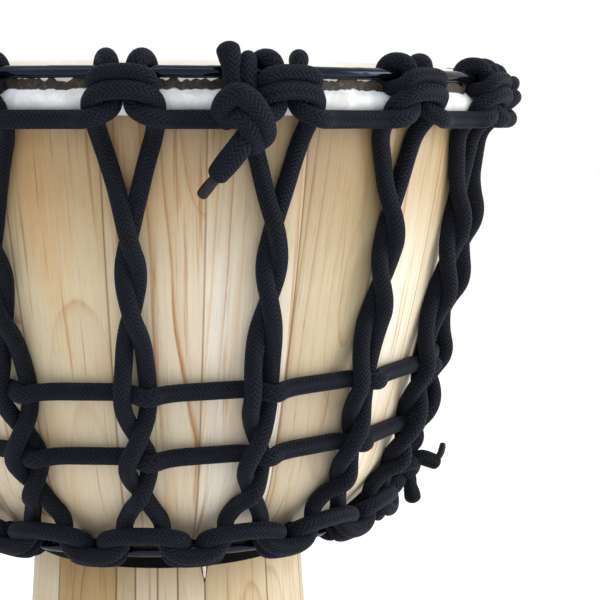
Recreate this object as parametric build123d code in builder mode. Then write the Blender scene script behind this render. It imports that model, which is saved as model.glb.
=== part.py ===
"""Small rope-tuned djembe: a goblet shell of glued staves, a goat skin held by two rings and
four ropes. The origin is the centre of the foot, on the floor, and +Z is up. Millimetres."""
from build123d import *
from math import cos, degrees, pi, radians, sin, sqrt, tan
import os

os.makedirs("parts", exist_ok=True)

# Driving dimensions. Heights above the floor
crown_ring_height = 341.5
rim_height = crown_ring_height + 2.5
bearing_height = crown_ring_height - 8.0
bowl_knee_height = crown_ring_height - 107.0
joint_height = crown_ring_height - 136.6

# The shell
rim_radius = 90.0
bowl_top_radius = 95.6
bowl_middle_radius = 86.6
bowl_knee_radius = 73.5
stem_top_radius = 41.4
stem_middle_radius = 50.6
foot_radius = 66.0
rim_land = 4.0
wall = 10.0
throat_radius = 31.0
bowl_staves = 22
first_bowl_seam = -9.9
# The stem is glued up from wide staves with a group of narrow ones among them, at the front
narrow_group = [-21.4, -13.4, -4.5, 3.5, 14.4]
wide_stem_staves = 11

# The collar over the joint between bowl and stem, whose edge lies band_reach degrees below level
band_thickness = 1.4
band_lip = 4.4
band_shoulder = 3.2
band_reach = 52

# The skin and the rings
skin_thickness = 0.9
skin_lap = 10.0
flesh_ring_wire = 3.2
flesh_ring_drop = 7.5
crown_ring_radius = 100.0
bottom_ring_radius = 63.0
ring_wire = 2.4
ring_tape = 0.4

# The ropes are round where they are free and thinner where they are pulled tight round a ring
rope = 4.2
tight_rope = 3.2
pressed_rope = 2.4
fit_gap = 0.05
stations = 16
first_station = -5.5
row_drops = (81.5, 99.6)

pitch = 360 / stations
ring_tube = ring_wire / 2 + ring_tape
stave_angle = 360 / bowl_staves


def direction(angle):
    """The way out from the axis, at an angle counted from the front to the right."""
    return Vector(sin(radians(angle)), -cos(radians(angle)), 0)


def turned_plane(angle):
    """The upright half plane through the axis at an angle: X runs outwards and Y runs up."""
    return Plane((0, 0, 0), x_dir=direction(angle), z_dir=direction(angle - 90))


def finish(part, name):
    part.label = name
    export_step(part, f"parts/{name}.step")


# The bowl, from staves that meet face to face
def bowl_outside():
    """The outside of the bowl, from its rim to the joint, drawn in the open BuildLine."""
    middle_height = (bearing_height + bowl_knee_height) / 2
    top = (bowl_top_radius, bearing_height)
    TangentArc(top, (rim_radius, rim_height), tangent=(0, 1))
    flank = ThreePointArc(top, (bowl_middle_radius, middle_height), (bowl_knee_radius, bowl_knee_height))
    belly = TangentArc(flank @ 1, (stem_top_radius, joint_height), tangent=flank % 1)
    return flank, belly


with BuildLine() as bowl_lines:
    bowl_flank, bowl_belly = bowl_outside()

belly_centre = bowl_belly.arc_center


def bowl_point(angle, side, drop, lift):
    """A point beside the bowl: an arc length to the right of an angle, a drop below the crown
    ring, and a lift off the wood."""
    height = crown_ring_height - drop
    arc = bowl_flank if height > bowl_knee_height else bowl_belly
    centre = arc.arc_center
    reach = sqrt(arc.radius**2 - (height - centre.Y) ** 2)
    around = angle + degrees(side / (centre.X + reach))
    out = lift / arc.radius
    return direction(around) * (centre.X + reach * (1 + out)) + Vector(0, 0, height + (height - centre.Y) * out)


for stave in range(bowl_staves):
    stave_plane = turned_plane(first_bowl_seam + stave * stave_angle)
    with BuildPart() as bowl_stave:
        with BuildSketch(stave_plane):
            with BuildLine():
                outer_flank, outer_belly = bowl_outside()
                inner_floor = (throat_radius, joint_height + wall)
                inner_knee = (bowl_knee_radius - wall, bowl_knee_height + wall / 4)
                Line(outer_belly @ 1, (throat_radius, joint_height))
                Line((throat_radius, joint_height), inner_floor)
                inner_flank = ThreePointArc(
                    (rim_radius - rim_land, rim_height - 1),
                    (bowl_middle_radius - wall, (bearing_height + bowl_knee_height) / 2),
                    inner_knee,
                )
                TangentArc(inner_knee, inner_floor, tangent=inner_flank % 1)
                Line((rim_radius - rim_land, rim_height - 1), (rim_radius, rim_height))
            make_face()
        revolve(axis=Axis.Z, revolution_arc=stave_angle)
    finish(bowl_stave.part, f"bowl_stave_{stave + 1:02d}")

# The stem, from wide and narrow staves
group_end = narrow_group[-1]
wide_angle = (360 - (group_end - narrow_group[0])) / wide_stem_staves
stem_seams = narrow_group + [group_end + wide_angle * (count + 1) for count in range(wide_stem_staves)]

for stave in range(len(stem_seams) - 1):
    with BuildPart() as stem_stave:
        with BuildSketch(turned_plane(stem_seams[stave])):
            with BuildLine():
                Line((throat_radius, joint_height), (stem_top_radius, joint_height))
                ThreePointArc(
                    (stem_top_radius, joint_height), (stem_middle_radius, joint_height / 2), (foot_radius, 0)
                )
                Line((foot_radius, 0), (foot_radius - wall, 0))
                ThreePointArc(
                    (foot_radius - wall, 0),
                    (stem_middle_radius - wall, joint_height / 2),
                    (throat_radius, joint_height),
                )
            make_face()
        revolve(axis=Axis.Z, revolution_arc=stem_seams[stave + 1] - stem_seams[stave])
    finish(stem_stave.part, f"stem_stave_{stave + 1:02d}")

# The collar hugs the underside of the bowl and ends in a lip on the stem
with BuildPart() as waist_band:
    with BuildSketch(Plane.XZ):
        with BuildLine():
            down_belly = Vector(cos(radians(band_reach)), -sin(radians(band_reach)))
            band_top = belly_centre + down_belly * bowl_belly.radius
            band_edge = belly_centre + down_belly * (bowl_belly.radius + band_thickness)
            shoulder = (stem_top_radius + band_shoulder, joint_height - 0.2)
            lip_corner = (stem_top_radius + band_thickness, joint_height - band_lip)
            Line(band_top, band_edge)
            RadiusArc(band_edge, shoulder, bowl_belly.radius + band_thickness)
            Line(shoulder, lip_corner)
            Line(lip_corner, (stem_top_radius + 0.2, joint_height - band_lip))
            Line((stem_top_radius + 0.2, joint_height - band_lip), (stem_top_radius, joint_height))
            RadiusArc((stem_top_radius, joint_height), band_top, -bowl_belly.radius)
        make_face()
    revolve(axis=Axis.Z)
finish(waist_band.part, "waist_band")

# The skin, the flesh ring that it is rolled round, and the two taped rings
flesh_ring_height = crown_ring_height - flesh_ring_drop
flesh_ring_radius = bowl_top_radius + skin_thickness + flesh_ring_wire / 2
skin_foot = crown_ring_height - skin_lap

with BuildPart() as drum_skin:
    with BuildSketch(Plane.XZ):
        with BuildSketch(mode=Mode.PRIVATE) as under_skin:
            with BuildLine():
                Polyline(
                    (bowl_top_radius, bearing_height),
                    (bowl_top_radius, skin_foot),
                    (0, skin_foot),
                    (0, rim_height),
                    (rim_radius, rim_height),
                )
                TangentArc((bowl_top_radius, bearing_height), (rim_radius, rim_height), tangent=(0, 1))
            make_face()
        offset(under_skin.sketch, amount=skin_thickness)
        add(under_skin.sketch, mode=Mode.SUBTRACT)
        with Locations((0, skin_foot - 1)):
            Rectangle(3 * bowl_top_radius, 2, mode=Mode.SUBTRACT)
        with Locations((flesh_ring_radius, flesh_ring_height)):
            Circle(flesh_ring_wire / 2 + skin_thickness)
            Circle(flesh_ring_wire / 2 + fit_gap, mode=Mode.SUBTRACT)
        with Locations((-5, rim_height)):
            Rectangle(10, 60, mode=Mode.SUBTRACT)
        with Locations((bowl_top_radius - 1, skin_foot + 1)):
            Rectangle(2, 6, mode=Mode.SUBTRACT)
    revolve(axis=Axis.Z)
finish(drum_skin.part, "drum_skin")


def ring(radius, height, tube, bore=0.0):
    """A round ring on the axis, hollow when it has a bore."""
    with BuildPart() as made:
        with BuildSketch(Plane.XZ):
            with Locations((radius, height)):
                Circle(tube)
                if bore:
                    Circle(bore, mode=Mode.SUBTRACT)
        revolve(axis=Axis.Z)
    return made.part


bottom_reach = bowl_belly.radius + ring_tube + pressed_rope + 2 * fit_gap
bottom_ring_height = belly_centre.Y - sqrt(bottom_reach**2 - (bottom_ring_radius - belly_centre.X) ** 2)
finish(ring(flesh_ring_radius, flesh_ring_height, flesh_ring_wire / 2), "flesh_ring")
finish(ring(crown_ring_radius, crown_ring_height, ring_wire / 2), "crown_ring")
finish(ring(crown_ring_radius, crown_ring_height, ring_tube, ring_wire / 2), "crown_ring_wrap")
finish(ring(bottom_ring_radius, bottom_ring_height, ring_wire / 2), "bottom_ring")
finish(ring(bottom_ring_radius, bottom_ring_height, ring_tube, ring_wire / 2), "bottom_ring_wrap")


# The ropes
class RingFrame:
    """Places a point by its arc length along a ring, its distance from the ring towards the
    middle of the drum, and its distance out from the shell."""

    def __init__(self, radius, height, out_radial, out_up, first_angle):
        self.radius = radius
        self.height = height
        self.out = (out_radial, out_up)
        self.inward = (abs(out_up), out_radial if out_up else -1)
        self.first_angle = first_angle

    def point(self, side, along, out):
        radial = self.radius + along * self.inward[0] + out * self.out[0]
        height = self.height + along * self.inward[1] + out * self.out[1]
        return at_angle(self.first_angle + degrees(side / self.radius), radial, height)


def at_angle(angle, radius, height):
    return direction(angle) * radius + Vector(0, 0, height)


def rope_path(points):
    """A path of straight runs and tangent arcs, each arc as large as its two runs allow."""
    radii = []
    for before, here, after in zip(points, points[1:], points[2:]):
        turn = radians((here - before).get_angle(after - here))
        shorter = min((here - before).length, (after - here).length)
        radii.append(0.45 * shorter / tan(turn / 2))
    return FilletPolyline(*points, radius=radii)


def rope_run(points, diameter, name):
    """A length of rope through the points, flat at both ends. It prints its volume beside the
    volume that its section and length give."""
    with BuildPart() as run:
        with BuildLine() as route:
            line = rope_path(points)
        with BuildSketch(Plane(line @ 0, z_dir=line % 0)):
            Circle(diameter / 2)
        sweep(path=route.wires()[0])
    section = pi * diameter**2 / 4
    print(f"{name}: {run.part.volume:.1f} mm3 for {section * line.length:.1f}, length {line.length:.1f}")
    return run.part


def mirrored(points):
    """The same places on the other side of the station, in the other order."""
    return [(-side, along, out) for side, along, out in reversed(points)]


# One station of a loop rope, left half: side, along and out. It comes from the middle between two
# stations, passes over the foot of the lacing, and turns towards the ring behind the lacing's arch.
crown_loop_left = [(-12.6, 11.6, 2.2), (-7.6, 11.6, 6.4), (-2.6, 9.4, 4.4), (-2.2, 6.4, 3.0), (-2.2, 4.4, 3.0)]
bottom_loop_left = [(-9.6, 12.0, 1.6), (-3.2, 10.2, 2.8), (-2.2, 6.4, 3.0), (-2.2, 4.4, 3.0)]


def hitch_left(wrap):
    """Half a hitch: up in front of the ring, over it, down behind, and out to the bar in front."""
    return [
        (-2.2, 4.4, 3.0),
        (-2.1, 2.2, wrap - 0.1),
        (-2.8, -wrap - 0.1, wrap),
        (-5.2, -wrap - 0.1, -wrap),
        (-6.5, wrap + 0.3, -wrap),
        (-6.9, wrap + 0.1, 4.8),
        (-5.4, 0.2, 7.2),
    ]


# The lacing in front of a hitch, from its foot behind the loop to the top of its arch
crown_arch_left = [(-7.7, 10.6, 1.3), (-8.0, 7.2, 3.8), (-4.6, 4.5, 7.6)]
bottom_arch_left = [(-7.6, 11.2, -2.2), (-8.0, 8.0, 1.0), (-4.6, 4.6, 7.4)]

# The two strands of a column between the arches: side, drop and lift. They cross four times.
rising_strand = [
    (-4.4, 117.6, 2.4),
    (-2.2, 113.5, 3.0),
    (0.0, 109.6, 7.5),
    (2.5, 104.6, 3.2),
    (2.7, 99.6, 2.2),
    (0.0, 94.4, 2.15),
    (-2.7, 88.0, 4.4),
    (-3.1, 81.5, 7.4),
    (-2.8, 75.0, 3.8),
    (-2.2, 66.5, 2.3),
    (0.0, 59.4, 2.15),
    (2.3, 49.0, 3.6),
    (0.0, 39.6, 7.3),
    (-2.4, 30.0, 2.8),
    (-4.6, 21.8, 2.3),
    (-6.9, 14.5, 2.2),
]
falling_strand = [
    (6.9, 14.5, 2.2),
    (4.6, 21.6, 2.3),
    (2.4, 30.2, 2.4),
    (0.0, 39.6, 2.15),
    (-2.3, 49.2, 3.6),
    (0.0, 59.4, 7.3),
    (2.2, 66.7, 3.8),
    (2.8, 75.2, 2.4),
    (3.1, 81.5, 2.2),
    (2.7, 88.2, 3.2),
    (0.0, 94.2, 7.4),
    (-2.7, 99.6, 7.6),
    (-2.5, 104.8, 4.6),
    (0.0, 109.6, 2.15),
    (2.2, 113.6, 2.6),
    (4.4, 117.4, 2.4),
]

# One column of a woven row, behind the left strand and in front of the right one: side and lift
row_unit = [(-11.4, 2.4), (-6.4, 2.3), (-3.1, 2.2), (0.0, 4.2), (3.1, 7.3), (7.0, 3.4)]


# The tied ends of the two loop ropes: angle, radius and height from the crown ring. The upper one
# is a strand with a tail and one turn round it, and the lower one is two short tails.
upper_knot = [
    [
        (8.8, 104.0, 4.6),
        (8.9, 104.2, -2.0),
        (9.2, 105.0, -9.0),
        (9.4, 105.4, -14.0),
        (8.6, 103.4, -20.0),
        (7.3, 101.6, -25.0),
        (5.6, 100.8, -28.6),
    ],
    [
        (8.6, 103.0, -14.0),
        (7.4, 107.6, -9.0),
        (9.4, 110.4, -4.6),
        (12.4, 110.2, -9.6),
        (12.6, 107.4, -16.2),
        (9.6, 104.0, -18.0),
    ],
]
lower_knot = [
    [(82.4, 74.6, -123.4), (82.4, 76.6, -119.8), (82.6, 80.0, -117.4), (82.8, 84.6, -118.4)],
    [(82.2, 75.0, -124.0), (82.4, 77.2, -126.2), (82.6, 77.6, -130.4)],
]


def finish_round(unit, name, knot=()):
    """Repeats one station's rope at every station, fused where the copies meet, and writes the
    rope as two nodes, its front length with its knot and its back length, because one node
    would be too heavy."""
    with BuildPart() as length:
        for turn in range(stations // 2):
            add(unit.rotate(Axis.Z, (turn - stations / 4) * pitch))
    finish(length.part.rotate(Axis.Z, 180), f"{name}_back")
    with BuildPart() as front:
        add(length.part)
        for strand in knot:
            places = [at_angle(angle, radius, crown_ring_height + rise) for angle, radius, rise in strand]
            add(rope_run(places, rope, f"{name} knot"))
    finish(front.part, f"{name}_front")


def loop_rope(frame, loop_left, diameter, name, knot):
    """A loop rope all the way round the drum, with a hitch at each station."""
    left = [frame.point(*place) for place in loop_left]
    right = [frame.point(*place) for place in mirrored(loop_left)]
    left_end = (left[0] + right[-1].rotate(Axis.Z, -pitch)) / 2
    right_end = (right[-1] + left[0].rotate(Axis.Z, pitch)) / 2
    half_hitch = hitch_left(ring_tube + diameter / 2 + fit_gap)
    hitch = [frame.point(*place) for place in half_hitch + mirrored(half_hitch)]
    with BuildPart() as unit:
        add(rope_run([left_end, *left], rope, f"{name} left loop"))
        add(rope_run(hitch, diameter, f"{name} hitch"))
        add(rope_run([*right, right_end], rope, f"{name} right loop"))
    finish_round(unit.part, name, knot)


crown_frame = RingFrame(crown_ring_radius, crown_ring_height, 1.0, 0.0, first_station)
bottom_out = (
    (bottom_ring_radius - belly_centre.X) / bottom_reach,
    (bottom_ring_height - belly_centre.Y) / bottom_reach,
)
bottom_frame = RingFrame(bottom_ring_radius, bottom_ring_height, *bottom_out, first_station + pitch / 2)

loop_rope(crown_frame, crown_loop_left, tight_rope, "upper_loop_rope", upper_knot)
loop_rope(bottom_frame, bottom_loop_left, pressed_rope, "lower_loop_rope", lower_knot)

# The lacing goes up each column on the left, over the hitch, down on the right, and on to the
# next column under the hitch between them
top_arch = crown_arch_left + mirrored(crown_arch_left)
bottom_arch_start = [bottom_frame.point(*place) for place in bottom_arch_left]
bottom_arch_end = [
    bottom_frame.point(*place).rotate(Axis.Z, -pitch) for place in mirrored(bottom_arch_left)
]
lacing_points = [
    *bottom_arch_end,
    *[bowl_point(first_station, *place) for place in rising_strand],
    *[crown_frame.point(*place) for place in top_arch],
    *[bowl_point(first_station, *place) for place in falling_strand],
    *bottom_arch_start,
]
bottom_middle = (bottom_arch_start[-1] + bottom_arch_end[0].rotate(Axis.Z, pitch)) / 2
lacing_points = [bottom_middle.rotate(Axis.Z, -pitch), *lacing_points, bottom_middle]
finish_round(rope_run(lacing_points, rope, "lacing_rope"), "lacing_rope")

# The two rows of the weave, each once round the drum
for row, drop in zip(("upper", "lower"), row_drops):
    row_places = [bowl_point(first_station, side, drop, lift) for side, lift in row_unit]
    row_left = (row_places[0] + row_places[-1].rotate(Axis.Z, -pitch)) / 2
    row_right = (row_places[-1] + row_places[0].rotate(Axis.Z, pitch)) / 2
    row_stretch = rope_run([row_left, *row_places, row_right], rope, f"{row} row")
    with BuildPart() as row_rope:
        for turn in range(stations):
            add(row_stretch.rotate(Axis.Z, turn * pitch))
    finish(row_rope.part, f"{row}_row_rope")
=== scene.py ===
import bpy
import numpy as np
from math import ceil, cos, degrees, pi, radians, sin, sqrt
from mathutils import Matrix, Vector, noise


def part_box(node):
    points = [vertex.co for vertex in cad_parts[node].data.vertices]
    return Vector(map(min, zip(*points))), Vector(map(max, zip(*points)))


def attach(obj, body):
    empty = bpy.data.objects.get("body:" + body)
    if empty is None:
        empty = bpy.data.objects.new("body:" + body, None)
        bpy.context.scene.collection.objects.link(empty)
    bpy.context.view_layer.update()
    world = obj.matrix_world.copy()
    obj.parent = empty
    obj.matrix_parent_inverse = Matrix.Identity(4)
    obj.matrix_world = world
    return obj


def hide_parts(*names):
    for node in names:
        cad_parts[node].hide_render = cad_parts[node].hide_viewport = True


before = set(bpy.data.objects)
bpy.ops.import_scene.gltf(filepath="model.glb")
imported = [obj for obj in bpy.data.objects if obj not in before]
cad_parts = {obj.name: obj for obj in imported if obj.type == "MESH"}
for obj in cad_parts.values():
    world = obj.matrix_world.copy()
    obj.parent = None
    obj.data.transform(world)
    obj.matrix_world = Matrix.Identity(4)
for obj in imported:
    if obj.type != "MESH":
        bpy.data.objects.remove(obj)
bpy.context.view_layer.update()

mm = 0.001

# heights come from the CAD nodes, the other numbers are the drum's own measures in mm and degrees
crownHeight = (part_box("crown_ring")[0][2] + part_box("crown_ring")[1][2]) / 2 / mm
bottomHeight = (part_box("bottom_ring")[0][2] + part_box("bottom_ring")[1][2]) / 2 / mm
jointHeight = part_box("bowl_stave_01")[0][2] / mm
drum = {
    "stations": 16,
    "firstStation": -5.5,
    "crownRadius": 100.0,
    "bottomRadius": 63.0,
    "rimHeight": crownHeight + 2.5,
    "bearingHeight": crownHeight - 8,
    "kneeHeight": crownHeight - 107,
    "wall": 10.0,
}
pitch = 360 / drum["stations"]


def srgb(hexText):
    # an sRGB hex colour as linear red, green, blue and alpha
    channels = [int(hexText[k:k + 2], 16) / 255 for k in (1, 3, 5)]
    return [c / 12.92 if c <= 0.04045 else ((c + 0.055) / 1.055) ** 2.4 for c in channels] + [1]


def connect(tree, node, links):
    # a link starts at the first output of a node, or at the output that is named
    for key, source in links.items():
        start = source.outputs[0] if isinstance(source, bpy.types.Node) else source
        tree.links.new(start, node.inputs[key])


def addNode(tree, kind, settings=None, links=None):
    # settings are sockets, ramp stops or the node's own switches
    node = tree.nodes.new("ShaderNode" + kind)
    for key, value in (settings or {}).items():
        if key == "ramp":
            stops = node.color_ramp.elements
            while len(stops) < len(value):
                stops.new(0.5)
            for stop, (spot, colour) in zip(stops, value):
                stop.position = spot
                stop.color = srgb(colour) if isinstance(colour, str) else (colour, colour, colour, 1)
        elif isinstance(key, int) or key in node.inputs:
            node.inputs[key].default_value = value
        else:
            setattr(node, key, value)
    connect(tree, node, links or {})
    return node


def perMetre(*sizes):
    # pattern sizes in mm, as repeats in a metre
    return 1000 / sizes[0] if len(sizes) == 1 else [1000 / size for size in sizes]


def newMaterial(name, settings):
    material = bpy.data.materials.new(name)
    material.use_nodes = True
    shader = material.node_tree.nodes["Principled BSDF"]
    for key, value in settings.items():
        shader.inputs[key].default_value = value
    return material, material.node_tree, shader


def meshPiece(name, verts, faces, material, smooth=None):
    # an object from points in metres and quads
    mesh = bpy.data.meshes.new(name)
    corners = np.asarray(faces, dtype=np.int32)
    mesh.vertices.add(len(verts))
    mesh.vertices.foreach_set("co", np.asarray(verts, dtype=np.float32).ravel())
    mesh.loops.add(corners.size)
    mesh.loops.foreach_set("vertex_index", corners.ravel())
    mesh.polygons.add(len(corners))
    mesh.polygons.foreach_set("loop_start", np.arange(0, corners.size, 4, dtype=np.int32))
    mesh.update(calc_edges=True)
    mesh.materials.append(material)
    mesh.polygons.foreach_set("use_smooth", np.ones(len(corners), bool) if smooth is None else smooth)
    piece = bpy.data.objects.new(name, mesh)
    bpy.context.collection.objects.link(piece)
    return piece


def pointValue(piece, name, values):
    values = np.asarray(values, dtype=np.float32)
    kind, key = ("FLOAT", "value") if values.ndim == 1 else ("FLOAT_VECTOR", "vector")
    piece.data.attributes.new(name, kind, "POINT").data.foreach_set(key, values.ravel())


def cornerMap(piece, name, values):
    piece.data.uv_layers.new(name=name).data.foreach_set("uv", np.asarray(values, dtype=np.float32).ravel())


def settle(piece, slot, *nodes):
    # the piece takes the place of the CAD nodes, if it has any, and belongs to the drum
    if nodes:
        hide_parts(*nodes)
    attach(piece, "root")


def gridFaces(rows, columns, closedRows=False, closedColumns=False):
    # quads over a grid of points stored row by row
    i, j = np.meshgrid(
        np.arange(rows if closedRows else rows - 1),
        np.arange(columns if closedColumns else columns - 1),
        indexing="ij",
    )
    i, j = i.ravel(), j.ravel()
    nextI, nextJ = (i + 1) % rows, (j + 1) % columns
    quads = [i * columns + j, nextI * columns + j, nextI * columns + nextJ, i * columns + nextJ]
    return np.stack(quads, axis=1)


def outward(angle):
    return np.array([sin(radians(angle)), -cos(radians(angle)), 0.0])


def atAngle(angle, radius, height):
    return outward(angle) * radius + np.array([0, 0, height])


# metres and degrees; the camera stands a little below the crown ring and looks down past it
cameraSet = {"distance": 0.4797, "below": 0.01245, "turn": 5.01, "tilt": 6.57, "lens": 92.28}
camera = bpy.data.objects.new("camera", bpy.data.cameras.new("camera"))
camera.data.lens = cameraSet["lens"]
camera.data.sensor_width = 36
camera.location = (0, -cameraSet["distance"], crownHeight * mm - cameraSet["below"])
camera.rotation_euler = (radians(90 - cameraSet["tilt"]), 0, radians(-cameraSet["turn"]))
bpy.context.collection.objects.link(camera)
bpy.context.scene.camera = camera
print("camera set")


def circleThrough(a, b, c):
    # points are pairs of radius and height in mm, as all of the shell's lines are
    rows = np.array([[b[0] - a[0], b[1] - a[1]], [c[0] - a[0], c[1] - a[1]]])
    right = np.array([
        (b[0]**2 - a[0]**2 + b[1]**2 - a[1]**2) / 2, (c[0]**2 - a[0]**2 + c[1]**2 - a[1]**2) / 2])
    centre = np.linalg.solve(rows, right)
    return centre, float(np.hypot(*(np.array(a) - centre)))


def arcPoints(centre, start, end, count):
    first = np.arctan2(start[1] - centre[1], start[0] - centre[0])
    last = np.arctan2(end[1] - centre[1], end[0] - centre[0])
    size = np.hypot(start[0] - centre[0], start[1] - centre[1])
    turns = np.linspace(first, last, count)
    return [(centre[0] + size * np.cos(t), centre[1] + size * np.sin(t)) for t in turns]


def tangentCentre(start, centre, end):
    # the arc that goes on smoothly from a first arc around centre, through start, to end
    out = (np.array(start) - centre) / np.hypot(*(np.array(start) - centre))
    gap = np.array(end) - np.array(start)
    return np.array(start) + out * (gap @ gap) / (2 * (out @ gap))


shell = {
    "top": (95.6, drum["bearingHeight"]),
    "middle": (86.6, (drum["bearingHeight"] + drum["kneeHeight"]) / 2),
    "knee": (73.5, drum["kneeHeight"]),
    "joint": (41.4, jointHeight),
    "rim": (90.0, drum["rimHeight"]),
    "throat": 31.0,
    "foot": 66.0,
    "stemMiddle": 50.6,
}
flankCentre, flankRadius = circleThrough(shell["top"], shell["middle"], shell["knee"])
bellyCentre = tangentCentre(shell["knee"], flankCentre, shell["joint"])
bellyRadius = float(np.hypot(*(np.array(shell["joint"]) - bellyCentre)))
rimArc = (82.95, drum["bearingHeight"])  # centre of the round edge that bears the skin


def bowlPoint(angle, side, drop, lift):
    # beside the bowl: arc length to the right of an angle, drop below the crown ring, lift off the wood
    height = crownHeight - drop
    above = height > drum["kneeHeight"]
    centre, size = (flankCentre, flankRadius) if above else (bellyCentre, bellyRadius)
    reach = sqrt(size**2 - (height - centre[1]) ** 2)
    around = angle + degrees(side / (centre[0] + reach))
    radius = centre[0] + reach * (1 + lift / size)
    return atAngle(around, radius, height + (height - centre[1]) * lift / size)


bottomReach = float(np.hypot(drum["bottomRadius"] - bellyCentre[0], bottomHeight - bellyCentre[1]))
bottomOut = (
    (drum["bottomRadius"] - bellyCentre[0]) / bottomReach, (bottomHeight - bellyCentre[1]) / bottomReach)
# radius, height, the way out from the shell, the way towards the drum's middle, angle of the first hitch
ringFrames = {
    "crown": (drum["crownRadius"], crownHeight, (1.0, 0.0), (0.0, -1.0), drum["firstStation"]),
    "bottom": (
        drum["bottomRadius"], bottomHeight, bottomOut, (-bottomOut[1], bottomOut[0]),
        drum["firstStation"] + pitch / 2,
    ),
}


def ringPoint(ring, turn, side, along, out):
    # beside a ring: along runs towards the middle of the drum, out runs away from the shell
    radius, height, outWay, alongWay, firstAngle = ringFrames[ring]
    angle = firstAngle + turn * pitch + degrees(side / radius)
    return atAngle(
        angle,
        radius + along * alongWay[0] + out * outWay[0],
        height + along * alongWay[1] + out * outWay[1],
    )


def mirrored(points):
    return [(-side, *rest) for side, *rest in reversed(points)]


# polyester cord braided from slanted bundles of yarn: matt black with a cold sheen, fine ribs in columns,
# which are drawn a little coarser than a real cord's, so that they show; sizes in mm
ropeSet = {
    "thick": 4.75,
    "tight": 4.1,
    "pressed": 3.2,
    "overRing": 4.9,
    "carriers": 12,
    "ribLength": 1.2,
    "ringEvery": 0.6,
    "sides": 20,
    "swell": 0.02,
    "swellPerMetre": 130,
    "domeSteps": [0.25, 0.5, 0.75, 0.93, 1.0],
    "domeHeight": 0.75,
    "domePoint": 0.02,
}


def braidedPolyester(name, look):
    material, tree, shader = newMaterial(name, {
        "Roughness": look["roughness"],
        "IOR": 1.5,
        "Sheen Weight": look["sheen"],
        "Sheen Roughness": 0.45,
        "Sheen Tint": srgb(look["sheenTint"]),
        "Specular IOR Level": look["gloss"],
    })
    braid = addNode(tree, "UVMap", {"uv_map": "braid"})
    split = addNode(tree, "SeparateXYZ", links={"Vector": braid})
    # two families of carriers cross at a slant, and each shows on top in its own columns
    right = addNode(tree, "Math", {"operation": "ADD"}, {0: split.outputs["X"], 1: split.outputs["Y"]})
    left = addNode(tree, "Math", {"operation": "SUBTRACT"}, {0: split.outputs["X"], 1: split.outputs["Y"]})
    rightCell = addNode(tree, "Math", {"operation": "FLOOR"}, {0: right})
    leftCell = addNode(tree, "Math", {"operation": "FLOOR"}, {0: left})
    gap = addNode(tree, "Math", {"operation": "SUBTRACT"}, {0: rightCell, 1: leftCell})
    turn = addNode(tree, "Math", {"operation": "FLOORED_MODULO", 1: 4.0}, {0: gap})
    onTop = addNode(tree, "Math", {"operation": "LESS_THAN", 1: 2.0}, {0: turn})
    rightFract = addNode(tree, "Math", {"operation": "FRACT"}, {0: right})
    leftFract = addNode(tree, "Math", {"operation": "FRACT"}, {0: left})
    across = addNode(tree, "MixRGB", {}, {"Fac": onTop, "Color1": leftFract, "Color2": rightFract})
    centred = addNode(tree, "Math", {"operation": "MULTIPLY_ADD", 1: 2.0, 2: -1.0}, {0: across})
    squared = addNode(tree, "Math", {"operation": "POWER", 1: 2.0}, {
        0: addNode(tree, "Math", {"operation": "ABSOLUTE"}, {0: centred})})
    crown = addNode(tree, "Math", {"operation": "SUBTRACT", 0: 1.0}, {1: squared})
    # yarn filaments inside each carrier
    spot = addNode(tree, "TexCoord")
    fuzz = addNode(tree, "TexNoise", {"Scale": perMetre(0.4), "Detail": 3.0, "Roughness": 0.6}, {
        "Vector": spot.outputs["Object"]})
    worn = addNode(tree, "TexNoise", {"Scale": perMetre(6.25), "Detail": 4.0, "Roughness": 0.6}, {
        "Vector": spot.outputs["Object"]})
    # painted shade and light: the colour is darkest in the valleys between the carriers and lightest on
    # their crowns
    shade = addNode(tree, "ValToRGB", {"ramp": look["ramp"]}, {"Fac": crown})
    yarn = addNode(tree, "ValToRGB", {"ramp": [(0.34, 0.45), (0.7, 1.0)]}, {"Fac": fuzz})
    patch = addNode(tree, "ValToRGB", {"ramp": [(0.3, 0.82), (0.7, 1.0)]}, {"Fac": worn})
    tone = addNode(tree, "MixRGB", {"blend_type": "MULTIPLY", "Fac": 1.0}, {
        "Color1": shade, "Color2": yarn})
    final = addNode(tree, "MixRGB", {"blend_type": "MULTIPLY", "Fac": 1.0}, {
        "Color1": tone, "Color2": patch})
    connect(tree, shader, {"Base Color": final})
    ribs = addNode(tree, "Bump", {"Strength": look["relief"], "Distance": 0.0003}, {"Height": crown})
    fine = addNode(tree, "Bump", {"Strength": 0.35, "Distance": 0.00012}, {
        "Height": fuzz, "Normal": ribs})
    connect(tree, shader, {"Normal": fine})
    return material


ropeMaterial = braidedPolyester("braidedPolyesterCord", {
    "roughness": 0.75, "sheen": 0.05, "sheenTint": "#9fb0d0", "gloss": 0.12, "relief": 0.9,
    # painted shade in the valleys between carriers, painted light on their crowns
    "ramp": [(0.0, "#020305"), (0.45, "#080a10"), (1.0, "#1a1e2a")]})


def meltedPolyester(name):
    # cord end sealed with a flame: harder and shinier than the braid, lumpy
    material, tree, shader = newMaterial(name, {"Roughness": 0.42, "IOR": 1.5, "Specular IOR Level": 0.25})
    spot = addNode(tree, "TexCoord")
    lumps = addNode(tree, "TexNoise", {"Scale": perMetre(1.1), "Detail": 4.0}, {
        "Vector": spot.outputs["Object"]})
    shade = addNode(tree, "ValToRGB", {"ramp": [(0.35, "#0c0c0e"), (0.7, "#1b1b1f")]}, {"Fac": lumps})
    connect(tree, shader, {"Base Color": shade})
    relief = addNode(tree, "Bump", {"Strength": 0.7, "Distance": 0.0004}, {"Height": lumps})
    connect(tree, shader, {"Normal": relief})
    return material


meltedMaterial = meltedPolyester("meltedPolyester")


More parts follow.
